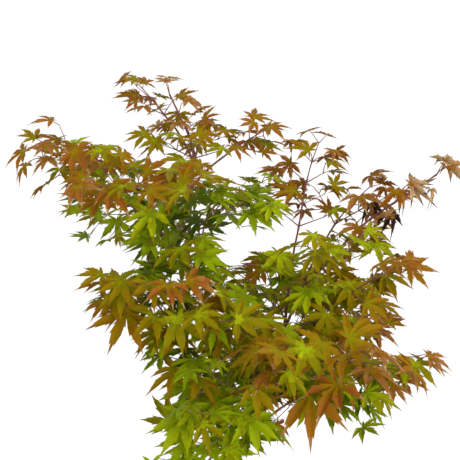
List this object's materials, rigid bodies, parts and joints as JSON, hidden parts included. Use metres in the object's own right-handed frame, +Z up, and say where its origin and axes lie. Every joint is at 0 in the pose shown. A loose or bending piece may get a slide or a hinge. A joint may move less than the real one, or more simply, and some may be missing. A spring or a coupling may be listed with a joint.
{
  "type": "potted japanese maple",
  "caption": "Young two-stemmed japanese maple with lobed green and bronze leaves, standing in a plain round nursery pot of compost.",
  "frame": {"origin": "centre of the pot's flat underside", "axes": "+Z up along the pot's axis, +X to the right in the picture, +Y away from its viewer"},
  "size_m": [0.7211, 0.7485, 1.0379],
  "materials": {
    "pot": "moulded satin",
    "compost": "crumbly matt",
    "bark": "thin smooth bark",
    "young_bark": "thin red-brown bark",
    "bronze_leaves": "satin leaf",
    "green_leaves": "satin leaf"
  },
  "bodies": {
    "root": {"pot": "pot", "compost": "compost", "trunk": "bark", "stem_left": "bark", "stem_right": "bark", "bough_back_high": "young_bark", "bough_back_left": "young_bark", "bough_back_low": "young_bark", "bough_back_middle": "young_bark", "bough_back_right": "young_bark", "bough_centre_high": "young_bark", "bough_front_high": "young_bark", "bough_left_high": "young_bark", "bough_left_low": "young_bark", "bough_low_front": "young_bark", "bough_low_left": "young_bark", "bough_low_left_front": "young_bark", "bough_mid_high": "young_bark", "bough_right_front": "young_bark", "bough_right_high": "young_bark", "bough_right_low": "young_bark", "bough_right_mid": "young_bark", "bough_top_left": "young_bark", "bough_top_right": "young_bark", "foliage_back_high": "bronze_leaves", "foliage_back_left": "bronze_leaves", "foliage_back_low": "bronze_leaves", "foliage_back_middle": "bronze_leaves", "foliage_back_right": "bronze_leaves", "foliage_centre_high": "bronze_leaves", "foliage_front_high": "bronze_leaves", "foliage_inner_centre": "green_leaves", "foliage_inner_foot_left": "green_leaves", "foliage_inner_foot_right": "green_leaves", "foliage_inner_high_back": "green_leaves", "foliage_inner_high_front": "green_leaves", "foliage_inner_low_left": "green_leaves", "foliage_inner_low_middle": "green_leaves", "foliage_inner_middle_left": "green_leaves", "foliage_inner_middle_right": "green_leaves", "foliage_inner_right_high": "green_leaves", "foliage_inner_right_low": "green_leaves", "foliage_inner_right_middle": "green_leaves", "foliage_inner_right_side": "green_leaves", "foliage_inner_top": "green_leaves", "foliage_left_high": "bronze_leaves", "foliage_left_low": "bronze_leaves", "foliage_low_front": "bronze_leaves", "foliage_low_left": "bronze_leaves", "foliage_low_left_front": "bronze_leaves", "foliage_mid_high": "bronze_leaves", "foliage_right_front": "bronze_leaves", "foliage_right_high": "bronze_leaves", "foliage_right_low": "bronze_leaves", "foliage_right_mid": "bronze_leaves", "foliage_right_shoot": "bronze_leaves", "foliage_top": "bronze_leaves", "foliage_top_left": "bronze_leaves", "foliage_top_right": "bronze_leaves"}
  },
  "joints": []
}
